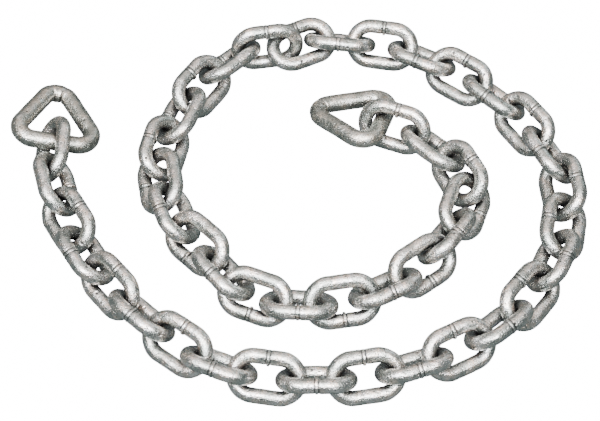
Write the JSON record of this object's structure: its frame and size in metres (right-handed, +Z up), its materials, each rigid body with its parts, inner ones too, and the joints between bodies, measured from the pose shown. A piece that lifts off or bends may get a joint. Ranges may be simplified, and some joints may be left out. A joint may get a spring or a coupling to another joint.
{
  "type": "laid chain with end rings",
  "caption": "Galvanised short-link steel chain laid in a loose inward spiral, with a triangular ring on each end.",
  "frame": {"origin": "centre of the laid chain's box, on the floor that it lies on", "axes": "+Z up from the floor; +X along the longer way across the spiral, towards the turn furthest from the outer end ring; the picture was taken looking along +Y and down"},
  "size_m": [0.304, 0.2384, 0.0258],
  "materials": {
    "link_zinc": "hot-dip galvanised steel wire, dull light grey zinc, mottled, with small pits and scratches",
    "ring_zinc": "hot-dip galvanised steel wire, slightly darker and warmer dull zinc, mottled and pitted"
  },
  "bodies": {
    "root": {"link_01": "link_zinc", "link_02": "link_zinc", "link_03": "link_zinc", "link_04": "link_zinc", "link_05": "link_zinc", "link_06": "link_zinc", "link_07": "link_zinc", "link_08": "link_zinc", "link_09": "link_zinc", "link_10": "link_zinc", "link_11": "link_zinc", "link_12": "link_zinc", "link_13": "link_zinc", "link_14": "link_zinc", "link_15": "link_zinc", "link_16": "link_zinc", "link_17": "link_zinc", "link_18": "link_zinc", "link_19": "link_zinc", "link_20": "link_zinc", "link_21": "link_zinc", "link_22": "link_zinc", "link_23": "link_zinc", "link_24": "link_zinc", "link_25": "link_zinc", "link_26": "link_zinc", "link_27": "link_zinc", "link_28": "link_zinc", "link_29": "link_zinc", "link_30": "link_zinc", "link_31": "link_zinc", "link_32": "link_zinc", "link_33": "link_zinc", "link_34": "link_zinc", "link_35": "link_zinc", "link_36": "link_zinc", "link_37": "link_zinc", "link_38": "link_zinc", "link_39": "link_zinc", "link_40": "link_zinc", "link_41": "link_zinc", "link_42": "link_zinc", "link_43": "link_zinc", "link_44": "link_zinc", "link_45": "link_zinc", "end_ring_outer": "ring_zinc", "end_ring_inner": "ring_zinc"}
  },
  "joints": []
}
